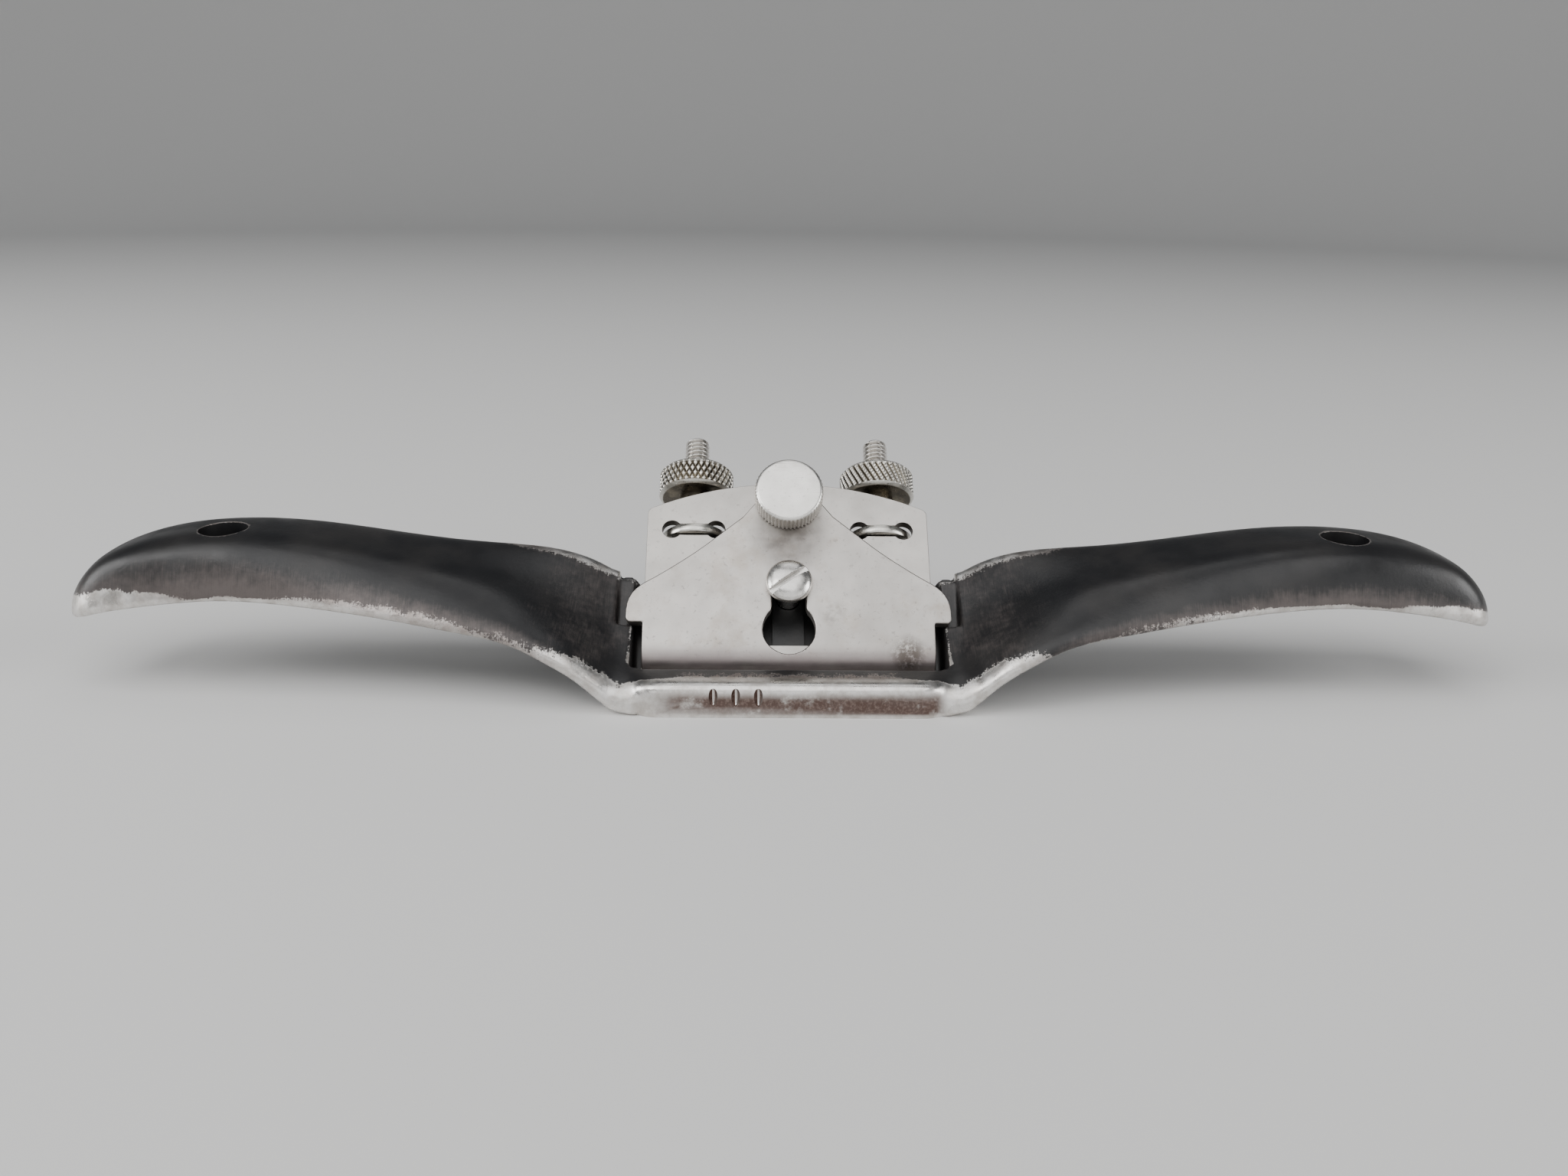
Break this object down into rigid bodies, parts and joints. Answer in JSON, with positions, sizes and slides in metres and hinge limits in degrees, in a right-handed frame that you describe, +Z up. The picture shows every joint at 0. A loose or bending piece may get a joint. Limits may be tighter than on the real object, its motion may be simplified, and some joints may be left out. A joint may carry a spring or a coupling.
{
  "type": "spokeshave",
  "caption": "Metal spokeshave with upswept cast handles, flat sole, steel cutter bedded at a slope, keyhole lever cap with thumb screw, and knurled depth adjusting nuts.",
  "frame": {"origin": "middle of the outline seen from above, on the plane of the flat sole; the cutting edge lies at y = -17.7 mm, z = 0", "axes": "+X along the tool to its right handle, +Y to the rear where the adjusting nuts are, +Z up from the sole; the cutter rises towards +Y and +Z at 45 degrees"},
  "size_m": [0.2546, 0.0554, 0.0379],
  "materials": {
    "body_casting": "black japanning worn to bright iron on edges",
    "cutter": "ground satin",
    "lever_cap": "satin nickel plate",
    "lever_cap_screw": "polished",
    "lever_cap_thumb_screw": "satin nickel plate",
    "adjusting_nut": "knurled nickel plate",
    "adjuster_stud": "threaded"
  },
  "bodies": {
    "body": {"body_casting": "body_casting", "adjuster_stud_left": "adjuster_stud", "adjuster_stud_right": "adjuster_stud"},
    "cutter": {"cutter": "cutter"},
    "nut_left": {"adjusting_nut_left": "adjusting_nut"},
    "nut_right": {"adjusting_nut_right": "adjusting_nut"},
    "cap": {"lever_cap": "lever_cap"},
    "thumb_screw": {"lever_cap_thumb_screw": "lever_cap_thumb_screw"},
    "cap_screw": {"lever_cap_screw": "lever_cap_screw"}
  },
  "joints": [
    {"name": "cutter_feed", "type": "slide", "parent": "body", "child": "cutter", "axis": [0, 0.7071, 0.7071], "range_m": [-0.0014, 0.0014]},
    {"name": "left_nut_turn", "type": "hinge", "parent": "cutter", "child": "nut_left", "pos_m": [-0.01805, 0.01013, 0.02005], "axis": [0, 0.7071, 0.7071], "range_deg": [-540, 540]},
    {"name": "right_nut_turn", "type": "hinge", "parent": "cutter", "child": "nut_right", "pos_m": [0.01805, 0.01013, 0.02005], "axis": [0, 0.7071, 0.7071], "range_deg": [-540, 540]},
    {"name": "cap_slide", "type": "slide", "parent": "body", "child": "cap", "axis": [0, 0.7071, 0.7071], "range_m": [0, 0.0083]},
    {"name": "thumb_screw_turn", "type": "hinge", "parent": "cap", "child": "thumb_screw", "pos_m": [0, 0.00282, 0.03211], "axis": [0, -0.766, 0.6428], "range_deg": [-360, 360]},
    {"name": "cap_screw_turn", "type": "hinge", "parent": "body", "child": "cap_screw", "pos_m": [0, -0.00695, 0.01782], "axis": [0, -0.7071, 0.7071], "range_deg": [-360, 360]}
  ],
  "couplings": [
    {"joint": "cutter_feed", "follows": "left_nut_turn", "m_per_rad": 0.00014435},
    {"joint": "right_nut_turn", "follows": "left_nut_turn", "ratio": 1}
  ]
}
